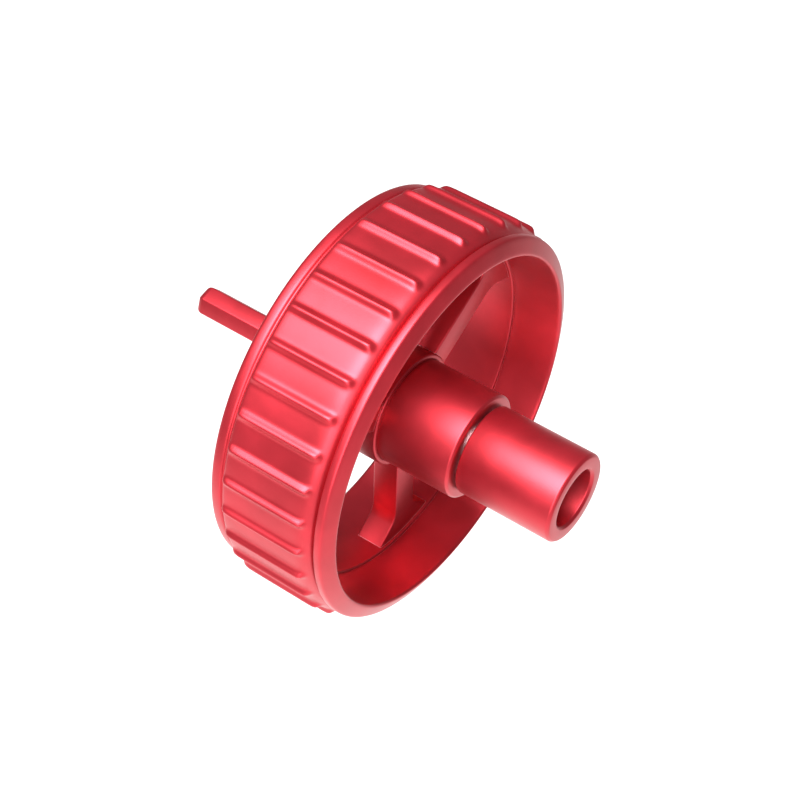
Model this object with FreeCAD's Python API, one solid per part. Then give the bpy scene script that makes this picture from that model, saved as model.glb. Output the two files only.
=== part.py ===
import FreeCAD, Part
import math
import os
from FreeCAD import Vector

# A free-wheeling hand wheel on a hollow-nosed spindle.
# Frame: millimetres. Y is the axle line, -Y towards the nose. The origin is on the
# axle line at the floor of the nose bore, where the end of a mating shaft lands.

AXLE = Vector(0, 1, 0)
ORIGIN = Vector(0, 0, 0)

# --- driving dimensions -------------------------------------------------------------

# grip ring
RIB_CREST_R = 29.0
LAND_R = 28.35
LIP_R = 27.85
GROOVE_R = 27.2
RING_FRONT_Y = 8.75
RING_REAR_Y = 27.3
RING_MOUTH_R = 25.4
RING_SEAM_R = 24.45
LIP_EDGE_Y = 9.8
BAND_SEAT_R = 25.7
BAND_FRONT_Y = 15.85
RIB_COUNT = 36
RIB_RADIUS = 0.75
RIB_FRONT_Y = 12.1
RIB_REAR_Y = 24.9
RIB_PHASE_DEG = 7.4

# spoked spider
BAND_BORE_R = 24.1
BAND_REAR_Y = 27.0
SPOKE_FRONT_Y = 16.3
SPOKE_REAR_Y = 20.3
SPOKE_COUNT = 3
SPOKE_WIDTH = 4.1
SPOKE_PHASE_DEG = 27.5
FOOT_START_R = 20.6
FOOT_END_R = 23.6
FOOT_WIDTH = 11.2
FOOT_BEND_R = 3.0
BOSS_R = 8.2
BOSS_FRONT_Y = 15.9
BOSS_REAR_Y = 22.8

# hub barrel
BARREL_R = 7.5
BARREL_FRONT_Y = 4.75
BARREL_REAR_Y = 26.1
BARREL_BORE_R = 6.0
BARREL_LIP_R = 4.9
BARREL_LIP_DEPTH = 0.5

# spindle
SHAFT_R = 4.0
SHAFT_REAR_Y = 26.9
SPIGOT_R = 3.0
NOSE_R = 6.35
NOSE_FRONT_Y = -10.0
NOSE_REAR_Y = 4.45
NOSE_BORE_R = 4.1
HEX_ACROSS_FLATS = 4.0
HEX_INSERT_Y = 16.9
HEX_TIP_Y = 51.4
HEX_PHASE_DEG = 10.0

# stack on the shaft, from the barrel lip backwards
BEARING_WIDTH = 3.5
FRONT_BEARING_Y = BARREL_FRONT_Y + BARREL_LIP_DEPTH
CLUTCH_Y = FRONT_BEARING_Y + BEARING_WIDTH
CLUTCH_LENGTH = 12.0
REAR_BEARING_Y = CLUTCH_Y + CLUTCH_LENGTH
STACK_REAR_Y = REAR_BEARING_Y + BEARING_WIDTH
SPACER_R = 4.6

# ball bearings
BALL_COUNT = 10
BALL_R = 0.6
BALL_PITCH_R = 5.0
RACE_GROOVE_R = 0.62
INNER_RING_R = 4.65
OUTER_RING_BORE_R = 5.35
CAGE_INNER_R = 4.72
CAGE_OUTER_R = 5.28
CAGE_POCKET_R = 0.66
SHIELD_THICKNESS = 0.15

# roller clutch
ROLLER_COUNT = 6
ROLLER_R = 0.8
ROLLER_LENGTH = 8.5
ROLLER_PITCH_R = 4.82
CUP_BORE_R = 5.66
CUP_LIP_R = 4.3
CUP_LIP_THICKNESS = 0.6
CLUTCH_CAGE_INNER_R = 4.15
CLUTCH_CAGE_OUTER_R = 5.5

# snap rings
SHAFT_SNAP_GROOVE_R = 3.8
SHAFT_SNAP_OUTER_R = 5.0
SHAFT_SNAP_THICKNESS = 0.8
BARREL_SNAP_INNER_R = 5.3
BARREL_SNAP_GROOVE_R = 6.4
BARREL_SNAP_THICKNESS = 1.0


# --- shared shape helpers -------------------------------------------------------------

def turned(points):
    """Revolve a closed outline of (radius, y) points about the axle line."""
    corners = [Vector(radius, y, 0) for radius, y in points]
    outline = Part.makePolygon(corners + [corners[0]])
    return Part.Face(outline).revolve(ORIGIN, AXLE, 360)


def tube(inner_r, outer_r, front_y, rear_y):
    """A plain ring or washer between two planes."""
    return turned([(inner_r, front_y), (outer_r, front_y), (outer_r, rear_y), (inner_r, rear_y)])


def cylinder(radius, front_y, rear_y, x=0.0, z=0.0):
    """A round bar along the axle direction."""
    return Part.makeCylinder(radius, rear_y - front_y, Vector(x, front_y, z), AXLE)


def turn(shape, degrees):
    """A copy turned about the axle line, counted from +X towards +Z."""
    copy = shape.copy()
    copy.rotate(ORIGIN, AXLE, -degrees)
    return copy


def spaced_around(shape, count, phase_deg=0.0):
    """Evenly spaced copies about the axle line."""
    return [turn(shape, phase_deg + 360.0 * index / count) for index in range(count)]


def hex_bar(across_flats, front_y, rear_y):
    """A hexagonal bar along the axle line."""
    corner_r = across_flats / math.sqrt(3)
    corners = []
    for index in range(7):
        angle = math.radians(60 * index + HEX_PHASE_DEG)
        corners.append(Vector(corner_r * math.cos(angle), front_y, corner_r * math.sin(angle)))
    face = Part.Face(Part.makePolygon(corners))
    return face.extrude(AXLE * (rear_y - front_y))


# --- wheel ----------------------------------------------------------------------------

def make_grip_ring():
    """Outer ring: front lip, groove, ribbed grip band, groove, rear lip."""
    outline = [
        (RING_MOUTH_R, RING_FRONT_Y + 0.3),
        (RING_MOUTH_R + 0.3, RING_FRONT_Y),
        (LIP_R - 0.2, LIP_EDGE_Y - 0.1),
        (LIP_R, LIP_EDGE_Y + 0.1),
        (LIP_R, 10.8),
        (GROOVE_R, 10.95),
        (GROOVE_R, 11.2),
        (GROOVE_R + 0.4, 11.45),
        (LAND_R - 0.4, 12.0),
        (LAND_R - 0.15, 12.6),
        (LAND_R, 13.6),
        (LAND_R, 24.95),
        (GROOVE_R + 0.3, 25.2),
        (GROOVE_R + 0.3, 25.5),
        (LIP_R, 25.7),
        (LIP_R, RING_REAR_Y - 0.45),
        (LIP_R - 0.5, RING_REAR_Y),
        (BAND_SEAT_R + 0.4, RING_REAR_Y),
        (BAND_SEAT_R, RING_REAR_Y - 0.4),
        (BAND_SEAT_R, BAND_FRONT_Y),
        (RING_SEAM_R, BAND_FRONT_Y),
    ]
    body = turned(outline)
    bar = cylinder(RIB_RADIUS, RIB_FRONT_Y - 1, RIB_REAR_Y + 1, RIB_CREST_R - RIB_RADIUS)
    rounded_ends = turned([
        (RIB_CREST_R - 1.2, RIB_FRONT_Y),
        (RIB_CREST_R - 0.9, RIB_FRONT_Y),
        (RIB_CREST_R - 0.25, RIB_FRONT_Y + 0.3),
        (RIB_CREST_R + 0.1, RIB_FRONT_Y + 0.9),
        (RIB_CREST_R + 0.1, RIB_REAR_Y - 0.6),
        (RIB_CREST_R - 0.3, RIB_REAR_Y - 0.15),
        (RIB_CREST_R - 0.6, RIB_REAR_Y),
        (RIB_CREST_R - 1.2, RIB_REAR_Y),
    ])
    rib = bar.common(rounded_ends)
    return body.fuse(spaced_around(rib, RIB_COUNT, RIB_PHASE_DEG)).removeSplitter()


def make_spoke():
    """One spoke from the boss to the band, widened at its foot."""
    half = SPOKE_WIDTH / 2
    near_side = [
        (BARREL_R + 0.3, half),
        (FOOT_START_R, half),
        (FOOT_END_R, FOOT_WIDTH / 2),
        (BAND_SEAT_R - 0.8, FOOT_WIDTH / 2),
    ]
    far_side = [(x, -z) for x, z in reversed(near_side)]
    corners = [Vector(x, SPOKE_FRONT_Y, z) for x, z in near_side + far_side]
    outline = Part.makePolygon(corners + [corners[0]])
    spoke = Part.Face(outline).extrude(AXLE * (SPOKE_REAR_Y - SPOKE_FRONT_Y))
    bends = []
    for edge in spoke.Edges:
        ends = [vertex.Point for vertex in edge.Vertexes]
        if all(abs(end.x - FOOT_START_R) < 0.001 for end in ends):
            bends.append(edge)
    return spoke.makeFillet(FOOT_BEND_R, bends)


def make_spoke_spider():
    """Boss, three spokes and the band that is pressed into the grip ring."""
    band = turned([
        (BAND_BORE_R + 0.15, BAND_FRONT_Y),
        (BAND_SEAT_R, BAND_FRONT_Y),
        (BAND_SEAT_R, BAND_REAR_Y),
        (BAND_BORE_R + 0.5, BAND_REAR_Y),
        (BAND_BORE_R, BAND_REAR_Y - 0.5),
        (BAND_BORE_R, BAND_FRONT_Y + 0.15),
    ])
    boss = turned([
        (BARREL_R, BOSS_FRONT_Y),
        (BOSS_R - 0.2, BOSS_FRONT_Y),
        (BOSS_R, BOSS_FRONT_Y + 0.2),
        (BOSS_R, BOSS_REAR_Y - 0.2),
        (BOSS_R - 0.2, BOSS_REAR_Y),
        (BARREL_R, BOSS_REAR_Y),
    ])
    spokes = spaced_around(make_spoke(), SPOKE_COUNT, SPOKE_PHASE_DEG)
    return boss.fuse([band] + spokes).removeSplitter()


def make_hub_barrel():
    """Barrel that carries both bearings and the clutch, pressed into the boss."""
    groove_front_y = STACK_REAR_Y
    groove_rear_y = STACK_REAR_Y + BARREL_SNAP_THICKNESS
    return turned([
        (BARREL_LIP_R, BARREL_FRONT_Y),
        (BARREL_R - 0.35, BARREL_FRONT_Y),
        (BARREL_R, BARREL_FRONT_Y + 0.35),
        (BARREL_R, BARREL_REAR_Y - 0.3),
        (BARREL_R - 0.3, BARREL_REAR_Y),
        (BARREL_BORE_R + 0.2, BARREL_REAR_Y),
        (BARREL_BORE_R, BARREL_REAR_Y - 0.2),
        (BARREL_BORE_R, groove_rear_y),
        (BARREL_SNAP_GROOVE_R, groove_rear_y),
        (BARREL_SNAP_GROOVE_R, groove_front_y),
        (BARREL_BORE_R, groove_front_y),
        (BARREL_BORE_R, FRONT_BEARING_Y),
        (BARREL_LIP_R, FRONT_BEARING_Y),
    ])


def make_snap_ring(inner_r, outer_r, front_y, thickness, gap_deg):
    """A split retaining ring, open at the top."""
    ring = tube(inner_r, outer_r, front_y, front_y + thickness)
    half_gap = outer_r * math.sin(math.radians(gap_deg / 2))
    gap = Part.makeBox(2 * half_gap, thickness + 2, outer_r + 1, Vector(-half_gap, front_y - 1, 0))
    return ring.cut(gap)


# --- spindle --------------------------------------------------------------------------

def make_nose_sleeve():
    """Hollow nose: an open bore in front, a press seat for the shaft's spigot behind."""
    return turned([
        (NOSE_BORE_R, NOSE_FRONT_Y + 0.35),
        (NOSE_BORE_R + 0.35, NOSE_FRONT_Y),
        (NOSE_R - 0.45, NOSE_FRONT_Y),
        (NOSE_R, NOSE_FRONT_Y + 0.45),
        (NOSE_R, NOSE_REAR_Y - 0.25),
        (NOSE_R - 0.25, NOSE_REAR_Y),
        (SPIGOT_R, NOSE_REAR_Y),
        (SPIGOT_R, 0),
        (NOSE_BORE_R, 0),
    ])


def make_core_shaft():
    """Ground shaft through the barrel, with a spigot, a snap-ring groove and a hex socket."""
    groove_rear_y = STACK_REAR_Y + SHAFT_SNAP_THICKNESS
    shaft = turned([
        (0, 0),
        (SPIGOT_R - 0.3, 0),
        (SPIGOT_R, 0.3),
        (SPIGOT_R, NOSE_REAR_Y),
        (SHAFT_R, NOSE_REAR_Y),
        (SHAFT_R, STACK_REAR_Y),
        (SHAFT_SNAP_GROOVE_R, STACK_REAR_Y),
        (SHAFT_SNAP_GROOVE_R, groove_rear_y),
        (SHAFT_R, groove_rear_y),
        (SHAFT_R, SHAFT_REAR_Y - 0.4),
        (SHAFT_R - 0.4, SHAFT_REAR_Y),
        (0, SHAFT_REAR_Y),
    ])
    return shaft.cut(hex_bar(HEX_ACROSS_FLATS, HEX_INSERT_Y, SHAFT_REAR_Y + 1))


def make_hex_tail():
    """Hexagonal drive bar with a turned tip."""
    bar = hex_bar(HEX_ACROSS_FLATS, HEX_INSERT_Y, HEX_TIP_Y)
    corner_r = HEX_ACROSS_FLATS / math.sqrt(3)
    tip = turned([
        (0, HEX_INSERT_Y - 1),
        (corner_r + 0.2, HEX_INSERT_Y - 1),
        (corner_r + 0.2, HEX_TIP_Y - 0.8),
        (corner_r - 0.65, HEX_TIP_Y),
        (0, HEX_TIP_Y),
    ])
    return bar.common(tip)


# --- ball bearings --------------------------------------------------------------------

def race_groove(middle_y):
    """The torus that the balls run in."""
    return Part.makeTorus(BALL_PITCH_R, RACE_GROOVE_R, Vector(0, middle_y, 0), AXLE)


def make_bearing_ring(inner_r, outer_r, front_y):
    """One race ring with its ball groove and small edge chamfers."""
    rear_y = front_y + BEARING_WIDTH
    edge = 0.15
    ring = turned([
        (inner_r, front_y + edge),
        (inner_r + edge, front_y),
        (outer_r - edge, front_y),
        (outer_r, front_y + edge),
        (outer_r, rear_y - edge),
        (outer_r - edge, rear_y),
        (inner_r + edge, rear_y),
        (inner_r, rear_y - edge),
    ])
    return ring.cut(race_groove(front_y + BEARING_WIDTH / 2))


def make_balls(front_y):
    """The ring of balls, as separate solids in one group."""
    ball = Part.makeSphere(BALL_R, Vector(BALL_PITCH_R, front_y + BEARING_WIDTH / 2, 0))
    return Part.makeCompound(spaced_around(ball, BALL_COUNT))


def make_ball_cage(front_y):
    """Crown cage that keeps the balls apart."""
    middle_y = front_y + BEARING_WIDTH / 2
    ring = tube(CAGE_INNER_R, CAGE_OUTER_R, middle_y - 0.5, middle_y + 1.2)
    pocket = Part.makeCylinder(CAGE_POCKET_R, 2, Vector(BALL_PITCH_R - 1, middle_y, 0), Vector(1, 0, 0))
    return ring.cut(spaced_around(pocket, BALL_COUNT))


def make_shields(front_y):
    """The pair of thin shields held in the outer ring."""
    first_y = front_y + 0.15
    second_y = front_y + BEARING_WIDTH - 0.15 - SHIELD_THICKNESS
    shields = [
        tube(CAGE_INNER_R, OUTER_RING_BORE_R, y, y + SHIELD_THICKNESS)
        for y in (first_y, second_y)
    ]
    return Part.makeCompound(shields)


def make_bearing(prefix, front_y):
    """All the pieces of one shielded ball bearing, by node name."""
    return {
        prefix + "_bearing_inner_ring": make_bearing_ring(SHAFT_R, INNER_RING_R, front_y),
        prefix + "_bearing_outer_ring": make_bearing_ring(OUTER_RING_BORE_R, BARREL_BORE_R, front_y),
        prefix + "_bearing_balls": make_balls(front_y),
        prefix + "_bearing_cage": make_ball_cage(front_y),
        prefix + "_bearing_shields": make_shields(front_y),
    }


# --- one-way roller clutch ------------------------------------------------------------

def clutch_middle_y():
    return CLUTCH_Y + CLUTCH_LENGTH / 2


def make_clutch_cup():
    """Drawn cup with inturned lips and a shallow ramp over each roller."""
    rear_y = CLUTCH_Y + CLUTCH_LENGTH
    cup = turned([
        (CUP_LIP_R, CLUTCH_Y),
        (BARREL_BORE_R - 0.2, CLUTCH_Y),
        (BARREL_BORE_R, CLUTCH_Y + 0.2),
        (BARREL_BORE_R, rear_y - 0.2),
        (BARREL_BORE_R - 0.2, rear_y),
        (CUP_LIP_R, rear_y),
        (CUP_LIP_R, rear_y - CUP_LIP_THICKNESS),
        (CUP_BORE_R, rear_y - CUP_LIP_THICKNESS),
        (CUP_BORE_R, CLUTCH_Y + CUP_LIP_THICKNESS),
        (CUP_LIP_R, CLUTCH_Y + CUP_LIP_THICKNESS),
    ])
    half = ROLLER_LENGTH / 2 + 0.2
    ramp = cylinder(1.0, clutch_middle_y() - half, clutch_middle_y() + half, ROLLER_PITCH_R)
    return cup.cut(spaced_around(ramp, ROLLER_COUNT, 3.0))


def make_clutch_rollers():
    """The needle rollers, as separate solids in one group."""
    half = ROLLER_LENGTH / 2
    roller = cylinder(ROLLER_R, clutch_middle_y() - half, clutch_middle_y() + half, ROLLER_PITCH_R)
    return Part.makeCompound(spaced_around(roller, ROLLER_COUNT))


def make_clutch_cage():
    """Moulded cage with one window for each roller and its spring."""
    half = CLUTCH_LENGTH / 2 - CUP_LIP_THICKNESS - 0.1
    middle_y = clutch_middle_y()
    ring = tube(CLUTCH_CAGE_INNER_R, CLUTCH_CAGE_OUTER_R, middle_y - half, middle_y + half)
    half_window = ROLLER_LENGTH / 2 + 0.2
    window = Part.makeBox(4, 2 * half_window, 2.5, Vector(3, middle_y - half_window, -0.9))
    return ring.cut(spaced_around(window, ROLLER_COUNT))


def make_clutch_springs():
    """The bent leaf springs that nudge the rollers up their ramps."""
    middle_y = clutch_middle_y()
    wall_z = 1.58
    bend_z = 0.92
    leaf = 0.1
    corners = [
        Vector(4.4, middle_y - 3.4, wall_z - leaf),
        Vector(4.4, middle_y, bend_z - leaf + 0.05),
        Vector(4.4, middle_y + 3.4, wall_z - leaf),
        Vector(4.4, middle_y + 3.4, wall_z),
        Vector(4.4, middle_y, bend_z + 0.05),
        Vector(4.4, middle_y - 3.4, wall_z),
    ]
    outline = Part.makePolygon(corners + [corners[0]])
    spring = Part.Face(outline).extrude(Vector(0.7, 0, 0))
    return Part.makeCompound(spaced_around(spring, ROLLER_COUNT))


# --- write the nodes ------------------------------------------------------------------

def main():
    nodes = {
        "grip_ring": make_grip_ring(),
        "spoke_spider": make_spoke_spider(),
        "hub_barrel": make_hub_barrel(),
        "barrel_snap_ring": make_snap_ring(
            BARREL_SNAP_INNER_R, BARREL_SNAP_GROOVE_R, STACK_REAR_Y, BARREL_SNAP_THICKNESS, 40
        ),
        "nose_sleeve": make_nose_sleeve(),
        "core_shaft": make_core_shaft(),
        "hex_tail": make_hex_tail(),
        "spacer_washer": tube(SHAFT_R, SPACER_R, NOSE_REAR_Y, FRONT_BEARING_Y),
        "shaft_snap_ring": make_snap_ring(
            SHAFT_SNAP_GROOVE_R, SHAFT_SNAP_OUTER_R, STACK_REAR_Y, SHAFT_SNAP_THICKNESS, 50
        ),
        "clutch_cup": make_clutch_cup(),
        "clutch_rollers": make_clutch_rollers(),
        "clutch_cage": make_clutch_cage(),
        "clutch_springs": make_clutch_springs(),
    }
    nodes.update(make_bearing("front", FRONT_BEARING_Y))
    nodes.update(make_bearing("rear", REAR_BEARING_Y))
    os.makedirs("parts", exist_ok=True)
    for name, shape in nodes.items():
        shape.exportStep("parts/" + name + ".step")
        box = shape.BoundBox
        print(name, len(shape.Solids), shape.isValid(), "y %.2f to %.2f" % (box.YMin, box.YMax))


main()
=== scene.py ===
import bpy
import math
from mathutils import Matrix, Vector


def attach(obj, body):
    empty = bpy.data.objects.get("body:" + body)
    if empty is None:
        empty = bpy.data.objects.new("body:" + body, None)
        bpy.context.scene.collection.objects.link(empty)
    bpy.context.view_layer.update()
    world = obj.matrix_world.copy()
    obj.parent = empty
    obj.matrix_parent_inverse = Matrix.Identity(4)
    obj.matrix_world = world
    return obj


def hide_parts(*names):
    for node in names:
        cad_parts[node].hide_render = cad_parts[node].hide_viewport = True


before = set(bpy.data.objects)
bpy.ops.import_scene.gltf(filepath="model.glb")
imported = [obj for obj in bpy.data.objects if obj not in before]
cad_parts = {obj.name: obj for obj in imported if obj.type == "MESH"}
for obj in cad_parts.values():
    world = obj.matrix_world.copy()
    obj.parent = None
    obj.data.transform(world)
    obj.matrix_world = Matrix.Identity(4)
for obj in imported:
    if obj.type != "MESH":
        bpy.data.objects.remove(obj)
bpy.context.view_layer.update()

# Grip ring: the wide rim that the hand turns. It is turned from aluminium tube, its ribs are milled,
# and it is bead blasted and dyed red in the anodising bath. It is pressed over the spider's band.
mm = 0.001
SAME_POINT = 0.001 * mm


def pick_only(piece):
    """Select one piece and nothing else."""
    bpy.ops.object.select_all(action="DESELECT")
    piece.select_set(True)
    bpy.context.view_layer.objects.active = piece


def draw_loop(name, points):
    """Draw a closed loop of straight edges from (x, y, z) points, left open in edit mode."""
    bpy.ops.object.select_all(action="DESELECT")
    bpy.ops.mesh.primitive_plane_add(size=mm)
    piece = bpy.context.object
    piece.name = name
    bpy.ops.object.mode_set(mode="EDIT")
    bpy.ops.mesh.select_all(action="SELECT")
    bpy.ops.mesh.merge(type="CENTER")
    bpy.ops.transform.translate(value=[value * mm for value in points[0]])
    here = points[0]
    for there in points[1:] + [points[0]]:
        step = [(end - start) * mm for start, end in zip(here, there)]
        bpy.ops.mesh.extrude_region_move(TRANSFORM_OT_translate={"value": step})
        here = there
    bpy.ops.mesh.select_all(action="SELECT")
    bpy.ops.mesh.remove_doubles(threshold=SAME_POINT)
    bpy.ops.mesh.select_all(action="SELECT")
    return piece


def turn_on_lathe(name, section, steps):
    """Draw a closed half section of (radius, y) points, then spin it round the axle line."""
    piece = draw_loop(name, [(radius, y, 0) for radius, y in section])
    bpy.ops.mesh.spin(steps=steps, angle=2 * math.pi, center=(0, 0, 0), axis=(0, 1, 0))
    bpy.ops.mesh.select_all(action="SELECT")
    bpy.ops.mesh.remove_doubles(threshold=SAME_POINT)
    bpy.ops.mesh.normals_make_consistent(inside=False)
    bpy.ops.object.mode_set(mode="OBJECT")
    return piece


def turn_about_axle(piece, degrees):
    """Turn a finished mesh about the axle line, from +X towards +Z, and bake the turn in."""
    pick_only(piece)
    piece.rotation_euler = (0, -math.radians(degrees), 0)
    bpy.ops.object.transform_apply(location=False, rotation=True, scale=False)


def apply_modifier(piece, kind, **settings):
    """Add one modifier, set it and apply it."""
    pick_only(piece)
    modifier = piece.modifiers.new(kind.title(), kind)
    for setting, value in settings.items():
        setattr(modifier, setting, value)
    bpy.ops.object.modifier_apply(modifier=modifier.name)


def scale_from_axle(piece, factor, wanted):
    """Push the chosen points straight out from the axle line, or in towards it."""
    pick_only(piece)
    bpy.ops.object.mode_set(mode="EDIT")
    bpy.ops.mesh.select_mode(type="VERT")
    bpy.ops.mesh.select_all(action="DESELECT")
    bpy.ops.object.mode_set(mode="OBJECT")
    for point in piece.data.vertices:
        point.select = wanted(point.co)
    bpy.ops.object.mode_set(mode="EDIT")
    bpy.ops.transform.resize(value=(factor, 1, factor), center_override=(0, 0, 0))
    bpy.ops.object.mode_set(mode="OBJECT")


def smooth_by_angle(piece, degrees):
    """Shade the piece smooth, except over edges sharper than this."""
    pick_only(piece)
    bpy.ops.object.shade_smooth_by_angle(angle=math.radians(degrees))


RIB_COUNT = 36
RIB_PITCH = 360 / RIB_COUNT
RIB_PHASE = 7.4
COLUMNS_PER_RIB = 12
COLUMN = RIB_PITCH / COLUMNS_PER_RIB
RIB_CREST_R = 28.99
LAND_R = 28.35
FLANK_SHARE = 0.12
SEAM_Y = 15.88

bore_and_front_lip = [
    (24.46, SEAM_Y), (24.47, 15.75), (25.34, 9.5), (25.4, 9.15), (25.5, 8.9), (25.7, 8.79),
    (25.95, 8.86), (27.35, 9.5), (27.63, 9.66), (27.79, 9.82), (27.84, 10.05), (27.84, 10.6),
]
front_groove = [
    (27.78, 10.82), (27.25, 10.9), (26.98, 10.97), (26.98, 11.13), (27.25, 11.22), (27.6, 11.42),
    (27.88, 11.85),
]
land = [
    (28.05, 12.15), (28.16, 12.45), (28.27, 12.9), (28.33, 13.5), (LAND_R, 14.4), (LAND_R, 18.0),
    (LAND_R, 22.0), (LAND_R, 24.0), (28.33, 24.6), (28.2, 24.93),
]
rear_groove = [(27.7, 25.13), (27.54, 25.22), (27.54, 25.42), (27.62, 25.52), (27.8, 25.64)]
rear_lip_and_seat = [
    (27.85, 25.9), (27.84, 26.8), (27.66, 27.15), (27.3, 27.29), (26.35, 27.29), (25.95, 27.18),
    (25.76, 26.95), (25.72, 26.6), (25.72, 16.0), (25.68, SEAM_Y), (24.6, SEAM_Y),
]
ring_section = bore_and_front_lip + front_groove + land + rear_groove + rear_lip_and_seat
ring = turn_on_lathe("grip_ring_visual", ring_section, RIB_COUNT * COLUMNS_PER_RIB)
turn_about_axle(ring, RIB_PHASE + COLUMN / 2)


def from_rib(co):
    """Degrees from the nearest rib's middle."""
    angle = math.degrees(math.atan2(co.z, co.x)) - RIB_PHASE
    return abs((angle + RIB_PITCH / 2) % RIB_PITCH - RIB_PITCH / 2)


def on_row(co, row_r, row_y):
    """True for a point of this row of the turned section."""
    near = 0.02
    out_from_axle = math.hypot(co.x, co.z) / mm
    return abs(co.y / mm - row_y) < near and abs(out_from_axle - row_r) < near


rib_crests = [28.15, 28.75, 28.96] + 5 * [RIB_CREST_R] + [28.78, 28.3]
for (row_r, row_y), crest_r in zip(land, rib_crests):
    lift = crest_r / row_r
    scale_from_axle(ring, lift, lambda co: on_row(co, row_r, row_y) and from_rib(co) < COLUMN)
    flank_lift = 1 + FLANK_SHARE * (lift - 1)
    scale_from_axle(
        ring, flank_lift,
        lambda co: on_row(co, row_r, row_y) and COLUMN < from_rib(co) < 2 * COLUMN,
    )

apply_modifier(ring, "SUBSURF", levels=1, render_levels=1)
smooth_by_angle(ring, 40)


def red_anodised(name, cloud_swirl):
    """Red dyed anodising over bead-blasted aluminium: fine grain, faint dye clouds, edges pale from wear
    and a painted highlight.
    """
    material = bpy.data.materials.new(name)
    material.use_nodes = True
    nodes, links = material.node_tree.nodes, material.node_tree.links
    shader = nodes["Principled BSDF"]
    shader.inputs["Metallic"].default_value = 0.85
    shader.inputs["Coat Weight"].default_value = 0.38
    shader.inputs["Coat Roughness"].default_value = 0.45
    shader.inputs["Coat IOR"].default_value = 1.5
    place = nodes.new("ShaderNodeTexCoord")

    grain = nodes.new("ShaderNodeTexNoise")
    grain.inputs["Scale"].default_value = 5200
    grain.inputs["Detail"].default_value = 2
    links.new(place.outputs["Object"], grain.inputs["Vector"])
    bump = nodes.new("ShaderNodeBump")
    bump.inputs["Strength"].default_value = 0.16
    bump.inputs["Distance"].default_value = 0.00004
    links.new(grain.outputs["Fac"], bump.inputs["Height"])
    links.new(bump.outputs["Normal"], shader.inputs["Normal"])

    clouds = nodes.new("ShaderNodeTexNoise")
    clouds.inputs["Scale"].default_value = 160
    clouds.inputs["Detail"].default_value = 5
    clouds.inputs["Distortion"].default_value = cloud_swirl
    links.new(place.outputs["Object"], clouds.inputs["Vector"])
    dye = nodes.new("ShaderNodeValToRGB")
    dye.color_ramp.elements[0].position = 0.3
    dye.color_ramp.elements[0].color = (0.37, 0.008, 0.017, 1)
    dye.color_ramp.elements[1].position = 0.72
    dye.color_ramp.elements[1].color = (0.47, 0.014, 0.027, 1)
    links.new(clouds.outputs["Fac"], dye.inputs["Fac"])

    # Sharp edges are painted paler: partly edge wear, partly a painted highlight standing in for light
    # catching them.
    edges = nodes.new("ShaderNodeBevel")
    edges.samples = 4
    edges.inputs["Radius"].default_value = 0.00015
    flat = nodes.new("ShaderNodeNewGeometry")
    turn = nodes.new("ShaderNodeVectorMath")
    turn.operation = "DOT_PRODUCT"
    links.new(edges.outputs["Normal"], turn.inputs[0])
    links.new(flat.outputs["Normal"], turn.inputs[1])
    edge_wear_and_highlight = nodes.new("ShaderNodeValToRGB")
    edge_wear_and_highlight.color_ramp.elements[0].position = 0.86
    edge_wear_and_highlight.color_ramp.elements[0].color = (1, 1, 1, 1)
    edge_wear_and_highlight.color_ramp.elements[1].position = 0.97
    edge_wear_and_highlight.color_ramp.elements[1].color = (0, 0, 0, 1)
    links.new(turn.outputs["Value"], edge_wear_and_highlight.inputs["Fac"])
    colour = nodes.new("ShaderNodeMix")
    colour.data_type = "RGBA"
    colour.inputs["B"].default_value = (0.62, 0.2, 0.23, 1)
    links.new(edge_wear_and_highlight.outputs["Color"], colour.inputs["Factor"])
    links.new(dye.outputs["Color"], colour.inputs["A"])
    links.new(colour.outputs["Result"], shader.inputs["Base Color"])

    rough = nodes.new("ShaderNodeMapRange")
    rough.inputs["To Min"].default_value = 0.36
    rough.inputs["To Max"].default_value = 0.46
    links.new(clouds.outputs["Fac"], rough.inputs["Value"])
    links.new(rough.outputs["Result"], shader.inputs["Roughness"])
    return material


red_metal = red_anodised("red_anodised_aluminium", cloud_swirl=0.2)
ring.data.materials.append(red_metal)
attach(ring, "wheel")
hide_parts("grip_ring")

# Spoked spider: a milled aluminium band, three spokes and a boss in one piece, dyed with the ring.
# It is pressed into the grip ring from behind, and the barrel is pressed through its boss.
SPOKE_COUNT = 3
SPOKE_PHASE = 27.5
SPOKE_FRONT = 16.32
SPOKE_DEPTH = 3.96
SPOKE_HALF_WIDTH = 2.05
FOOT_HALF_WIDTH = 5.6


def break_edges(piece, width, segments, sharper_than):
    """Round every edge that is sharper than so many degrees."""
    apply_modifier(
        piece, "BEVEL", width=width * mm, segments=segments, limit_method="ANGLE",
        angle_limit=math.radians(sharper_than),
    )


band_section = [
    (24.3, 15.87), (25.68, 15.87), (25.68, 26.98), (24.62, 26.98), (24.3, 26.8), (24.12, 26.5),
    (24.12, 16.0),
]
spider = turn_on_lathe("spoke_spider_visual", band_section, 180)
boss_section = [
    (7.52, 15.92), (7.98, 15.92), (8.18, 16.1), (8.18, 22.6), (7.98, 22.78), (7.52, 22.78),
]
boss = turn_on_lathe("boss", boss_section, 96)
for turned_part in (spider, boss):
    break_edges(turned_part, width=0.08, segments=2, sharper_than=20)

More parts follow.
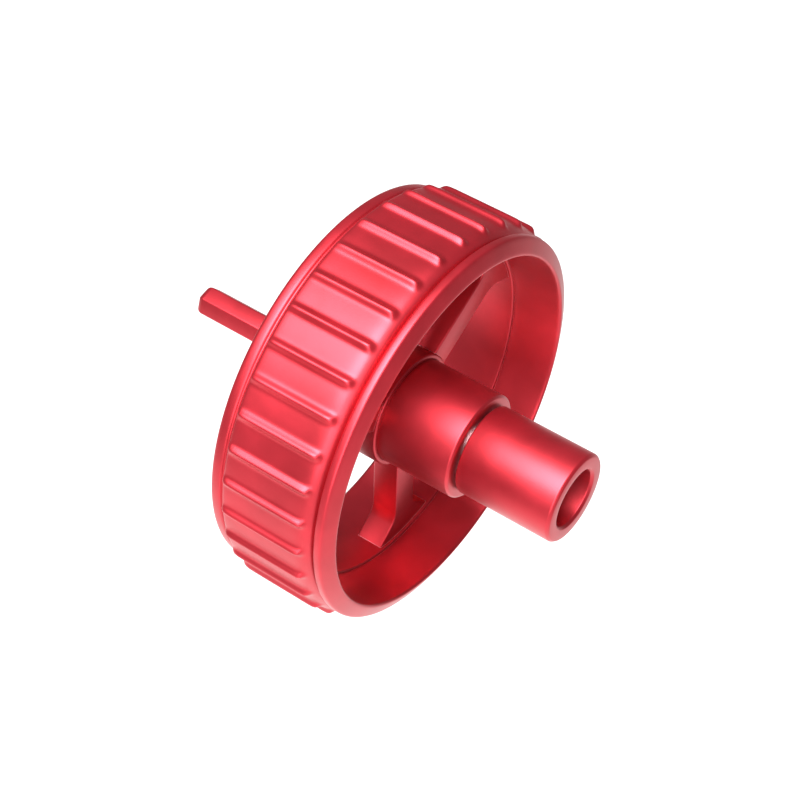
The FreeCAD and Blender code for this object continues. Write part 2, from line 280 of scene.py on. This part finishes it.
foot_side = [
    (7.8, SPOKE_HALF_WIDTH), (19.1, SPOKE_HALF_WIDTH), (19.68, 2.1), (20.23, 2.26),
    (20.75, 2.51), (21.22, 2.85), (23.6, FOOT_HALF_WIDTH), (24.9, FOOT_HALF_WIDTH),
]
spoke_outline = foot_side + [(along, -across) for along, across in reversed(foot_side)]
spoke = draw_loop("spoke", [(along, SPOKE_FRONT, across) for along, across in spoke_outline])
bpy.ops.mesh.edge_face_add()
bpy.ops.mesh.extrude_region_move(TRANSFORM_OT_translate={"value": (0, SPOKE_DEPTH * mm, 0)})
bpy.ops.mesh.select_all(action="SELECT")
bpy.ops.mesh.normals_make_consistent(inside=False)
bpy.ops.object.mode_set(mode="OBJECT")
break_edges(spoke, width=0.18, segments=3, sharper_than=60)
spokes = [spoke]
while len(spokes) < SPOKE_COUNT:
    pick_only(spoke)
    bpy.ops.object.duplicate(linked=False)
    spokes.append(bpy.context.object)
for index, each_spoke in enumerate(spokes):
    turn_about_axle(each_spoke, SPOKE_PHASE + index * 360 / SPOKE_COUNT)

bpy.ops.object.select_all(action="DESELECT")
for part in [spider, boss] + spokes:
    part.select_set(True)
bpy.context.view_layer.objects.active = spider
bpy.ops.object.join()
smooth_by_angle(spider, 35)
spider.data.materials.append(red_metal)
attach(spider, "wheel")
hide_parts("spoke_spider")

# Hub barrel: a turned aluminium sleeve, anodised with the wheel. It carries the bearings and the
# clutch, and is pressed through the boss with its chamfered mouth forward.
barrel_section = [
    (4.9, 4.8), (7.1, 4.8), (7.22, 4.83), (7.46, 5.07), (7.49, 5.2), (7.49, 25.8), (7.2, 26.08),
    (6.2, 26.08), (6.02, 25.9), (6.02, 25.27), (6.38, 25.27), (6.38, 24.23), (6.02, 24.23),
    (6.02, 5.3), (4.9, 5.3),
]
barrel = turn_on_lathe("hub_barrel_visual", barrel_section, 128)
break_edges(barrel, width=0.06, segments=2, sharper_than=25)
smooth_by_angle(barrel, 35)
barrel.data.materials.append(red_metal)
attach(barrel, "wheel")
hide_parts("hub_barrel")

# Nose sleeve: the hollow front end of the spindle, turned from aluminium bar and anodised red.
# It is pressed and bonded on the core shaft and stands just clear of the barrel's mouth.
nose_section = [
    (4.1, -9.62), (4.45, -9.98), (5.9, -9.98), (6.05, -9.93), (6.32, -9.6), (6.34, -9.4), (6.34, 4.15),
    (6.28, 4.3), (6.1, 4.43), (3.0, 4.43), (3.0, 0.02), (4.1, 0.02),
]
nose = turn_on_lathe("nose_sleeve_visual", nose_section, 128)
break_edges(nose, width=0.08, segments=3, sharper_than=25)
smooth_by_angle(nose, 35)
nose.data.materials.append(red_metal)
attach(nose, "spindle")
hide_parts("nose_sleeve")

# Hex tail: a length of hexagonal aluminium bar, 4 mm across its flats, with a turned tip.
# It is anodised red and pressed into the hexagonal socket in the back of the core shaft.
HEX_ACROSS_FLATS = 4.0
HEX_CORNER_R = HEX_ACROSS_FLATS / math.sqrt(3)
HEX_FRONT = 16.9
HEX_LENGTH = 34.48
HEX_TURN = 10
# Each step of the tip: how long it is, and how much of the width before it is left at its end.
TIP_STEPS = [(0.5, 0.9), (0.3, 0.8)]

bpy.ops.object.select_all(action="DESELECT")
bpy.ops.mesh.primitive_cylinder_add(
    vertices=6, radius=HEX_CORNER_R * mm, depth=HEX_LENGTH * mm,
    location=(0, (HEX_FRONT + HEX_LENGTH / 2) * mm, 0), rotation=(math.radians(90), math.radians(30), 0),
)
hex_tail = bpy.context.object
hex_tail.name = "hex_tail_visual"
bpy.ops.object.transform_apply(location=True, rotation=True, scale=True)
bpy.ops.object.mode_set(mode="EDIT")
bpy.ops.mesh.select_mode(type="FACE")
bpy.ops.mesh.select_all(action="DESELECT")
bpy.ops.object.mode_set(mode="OBJECT")
for face in hex_tail.data.polygons:
    face.select = face.normal.y > 0.9
bpy.ops.object.mode_set(mode="EDIT")
tip_length = sum(step for step, shrink in TIP_STEPS)
bpy.ops.transform.translate(value=(0, -tip_length * mm, 0))
for step, shrink in TIP_STEPS:
    bpy.ops.mesh.extrude_region_move(TRANSFORM_OT_translate={"value": (0, step * mm, 0)})
    bpy.ops.transform.resize(value=(shrink, 1, shrink), center_override=(0, 0, 0))
bpy.ops.object.mode_set(mode="OBJECT")
turn_about_axle(hex_tail, HEX_TURN)
break_edges(hex_tail, width=0.16, segments=3, sharper_than=12)
smooth_by_angle(hex_tail, 35)
hex_tail.data.materials.append(red_metal)
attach(hex_tail, "spindle")
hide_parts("hex_tail")

# Core shaft and spacer washer: the spindle's middle, ground from hardened steel bar, and a turned
# washer that keeps the nose clear of the front bearing. Both keep their engineering shape.


def turned_steel(name, colour, roughness, line_scale):
    """Bare steel off a lathe or grinder: fine lines round the axle, slightly uneven shine."""
    material = bpy.data.materials.new(name)
    material.use_nodes = True
    nodes, links = material.node_tree.nodes, material.node_tree.links
    shader = nodes["Principled BSDF"]
    shader.inputs["Metallic"].default_value = 1.0
    place = nodes.new("ShaderNodeTexCoord")

    lines = nodes.new("ShaderNodeTexWave")
    lines.bands_direction = "Y"
    lines.inputs["Scale"].default_value = line_scale
    lines.inputs["Distortion"].default_value = 1.5
    lines.inputs["Detail"].default_value = 3
    links.new(place.outputs["Object"], lines.inputs["Vector"])
    bump = nodes.new("ShaderNodeBump")
    bump.inputs["Strength"].default_value = 0.2
    bump.inputs["Distance"].default_value = 0.00002
    links.new(lines.outputs["Fac"], bump.inputs["Height"])
    links.new(bump.outputs["Normal"], shader.inputs["Normal"])

    patches = nodes.new("ShaderNodeTexNoise")
    patches.inputs["Scale"].default_value = 700
    patches.inputs["Detail"].default_value = 4
    links.new(place.outputs["Object"], patches.inputs["Vector"])
    tint = nodes.new("ShaderNodeValToRGB")
    tint.color_ramp.elements[0].position = 0.35
    tint.color_ramp.elements[0].color = (colour[0] * 0.85, colour[1] * 0.85, colour[2] * 0.86, 1)
    tint.color_ramp.elements[1].position = 0.65
    tint.color_ramp.elements[1].color = (colour[0], colour[1], colour[2], 1)
    links.new(patches.outputs["Fac"], tint.inputs["Fac"])
    links.new(tint.outputs["Color"], shader.inputs["Base Color"])
    shine = nodes.new("ShaderNodeMapRange")
    shine.inputs["To Min"].default_value = roughness - 0.06
    shine.inputs["To Max"].default_value = roughness + 0.08
    links.new(patches.outputs["Fac"], shine.inputs["Value"])
    links.new(shine.outputs["Result"], shader.inputs["Roughness"])
    return material


def finish_nodes(names, material):
    """Give the kept engineering pieces their finish."""
    for name in names:
        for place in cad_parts[name].material_slots:
            place.link = "OBJECT"
            place.material = material


shaft_steel = turned_steel("ground_shaft_steel", (0.55, 0.55, 0.56), 0.3, 1800)
finish_nodes(["core_shaft", "spacer_washer"], shaft_steel)

# Ball bearings: two shielded bearings with polished chrome-steel races and balls. The pressed cages and
# shields are softer sheet steel with a duller face. They sit at both ends of the barrel.
race_steel = turned_steel("polished_bearing_steel", (0.7, 0.7, 0.71), 0.16, 3000)
sheet_steel = turned_steel("pressed_sheet_steel", (0.5, 0.49, 0.48), 0.38, 900)
for bearing in ("front_bearing", "rear_bearing"):
    finish_nodes([bearing + "_inner_ring", bearing + "_outer_ring", bearing + "_balls"], race_steel)
    finish_nodes([bearing + "_cage", bearing + "_shields"], sheet_steel)

# One-way clutch: a drawn cup pressed in the barrel, needle rollers on leaf springs, and a moulded
# nylon cage. It grips the shaft in one direction and slips in the other.
cup_steel = turned_steel("drawn_cup_steel", (0.6, 0.6, 0.61), 0.26, 1200)
finish_nodes(["clutch_cup", "clutch_rollers"], cup_steel)


def moulded_nylon(name):
    """Natural nylon: warm off-white, faintly mottled, with a soft moulded grain."""
    material = bpy.data.materials.new(name)
    material.use_nodes = True
    nodes, links = material.node_tree.nodes, material.node_tree.links
    shader = nodes["Principled BSDF"]
    shader.inputs["Subsurface Weight"].default_value = 0.15
    shader.inputs["Subsurface Radius"].default_value = (0.001, 0.0007, 0.0005)
    shader.inputs["Roughness"].default_value = 0.45
    place = nodes.new("ShaderNodeTexCoord")
    mottle = nodes.new("ShaderNodeTexNoise")
    mottle.inputs["Scale"].default_value = 900
    mottle.inputs["Detail"].default_value = 4
    links.new(place.outputs["Object"], mottle.inputs["Vector"])
    tint = nodes.new("ShaderNodeValToRGB")
    tint.color_ramp.elements[0].color = (0.74, 0.7, 0.56, 1)
    tint.color_ramp.elements[1].color = (0.86, 0.83, 0.71, 1)
    links.new(mottle.outputs["Fac"], tint.inputs["Fac"])
    links.new(tint.outputs["Color"], shader.inputs["Base Color"])
    bump = nodes.new("ShaderNodeBump")
    bump.inputs["Strength"].default_value = 0.1
    bump.inputs["Distance"].default_value = 0.00003
    links.new(mottle.outputs["Fac"], bump.inputs["Height"])
    links.new(bump.outputs["Normal"], shader.inputs["Normal"])
    return material


finish_nodes(["clutch_cage"], moulded_nylon("natural_nylon"))

# Snap rings and clutch springs: stamped from spring steel, hardened, then phosphated to a dull dark
# grey. The rings snap into grooves in the shaft and the barrel.


def phosphated_steel(name):
    """Dark phosphate over spring steel: fine crystals and brighter rubbed spots."""
    material = bpy.data.materials.new(name)
    material.use_nodes = True
    nodes, links = material.node_tree.nodes, material.node_tree.links
    shader = nodes["Principled BSDF"]
    shader.inputs["Metallic"].default_value = 0.8
    place = nodes.new("ShaderNodeTexCoord")
    crystals = nodes.new("ShaderNodeTexVoronoi")
    crystals.inputs["Scale"].default_value = 6000
    links.new(place.outputs["Object"], crystals.inputs["Vector"])
    rubbed = nodes.new("ShaderNodeTexNoise")
    rubbed.inputs["Scale"].default_value = 600
    rubbed.inputs["Detail"].default_value = 5
    links.new(place.outputs["Object"], rubbed.inputs["Vector"])
    tint = nodes.new("ShaderNodeValToRGB")
    tint.color_ramp.elements[0].position = 0.45
    tint.color_ramp.elements[0].color = (0.05, 0.05, 0.055, 1)
    tint.color_ramp.elements[1].position = 0.75
    tint.color_ramp.elements[1].color = (0.2, 0.2, 0.2, 1)
    links.new(rubbed.outputs["Fac"], tint.inputs["Fac"])
    links.new(tint.outputs["Color"], shader.inputs["Base Color"])
    shine = nodes.new("ShaderNodeMapRange")
    shine.inputs["To Min"].default_value = 0.6
    shine.inputs["To Max"].default_value = 0.38
    links.new(rubbed.outputs["Fac"], shine.inputs["Value"])
    links.new(shine.outputs["Result"], shader.inputs["Roughness"])
    bump = nodes.new("ShaderNodeBump")
    bump.inputs["Strength"].default_value = 0.25
    bump.inputs["Distance"].default_value = 0.00002
    links.new(crystals.outputs["Distance"], bump.inputs["Height"])
    links.new(bump.outputs["Normal"], shader.inputs["Normal"])
    return material


spring_steel = phosphated_steel("phosphated_spring_steel")
finish_nodes(["barrel_snap_ring", "shaft_snap_ring", "clutch_springs"], spring_steel)

# Studio: a plain pale floor, a large soft light overhead, a weaker one at the left, and a faint even
# light from all round. None of it belongs to the object.
bpy.ops.object.select_all(action="DESELECT")
bpy.ops.mesh.primitive_plane_add(size=6, location=(0, 0, -0.2))
floor = bpy.context.object
floor.name = "floor"
floor_material = bpy.data.materials.new("pale_floor")
floor_material.use_nodes = True
floor_shader = floor_material.node_tree.nodes["Principled BSDF"]
floor_shader.inputs["Base Color"].default_value = (0.64, 0.64, 0.64, 1)
floor_shader.inputs["Roughness"].default_value = 0.9
floor.data.materials.append(floor_material)

world = bpy.data.worlds.new("studio")
world.use_nodes = True
world.node_tree.nodes["Background"].inputs["Color"].default_value = (1, 1, 1, 1)
world.node_tree.nodes["Background"].inputs["Strength"].default_value = 0.22
bpy.context.scene.world = world

WHEEL_CENTRE = (0, 0.02, 0)


def soft_light(name, place, width, power):
    """A square soft light that points at the wheel."""
    bpy.ops.object.light_add(type="AREA", location=place)
    light = bpy.context.object
    light.name = name
    light.data.shape = "SQUARE"
    light.data.size = width
    light.data.energy = power
    aim = Vector(WHEEL_CENTRE) - Vector(place)
    light.rotation_euler = aim.to_track_quat("-Z", "Y").to_euler()


soft_light("overhead_light", (-0.2, 0.02, 0.5), 0.45, 15)
soft_light("left_light", (-0.5, -0.25, 0.2), 0.4, 3.5)

camera_data = bpy.data.cameras.new("camera")
camera = bpy.data.objects.new("camera", camera_data)
bpy.context.collection.objects.link(camera)
camera_data.sensor_width = 36
camera_data.lens = 88.61
azimuth, elevation = math.radians(-53.909), math.radians(47.808)
back = Vector((
    math.sin(azimuth) * math.cos(elevation),
    -math.cos(azimuth) * math.cos(elevation),
    math.sin(elevation),
))
camera.location = Vector((-141.857, -85.712, 194.537)) * mm
camera.rotation_euler = (-back).to_track_quat("-Z", "Y").to_euler()
bpy.context.scene.camera = camera
bpy.context.scene.view_settings.view_transform = "Standard"
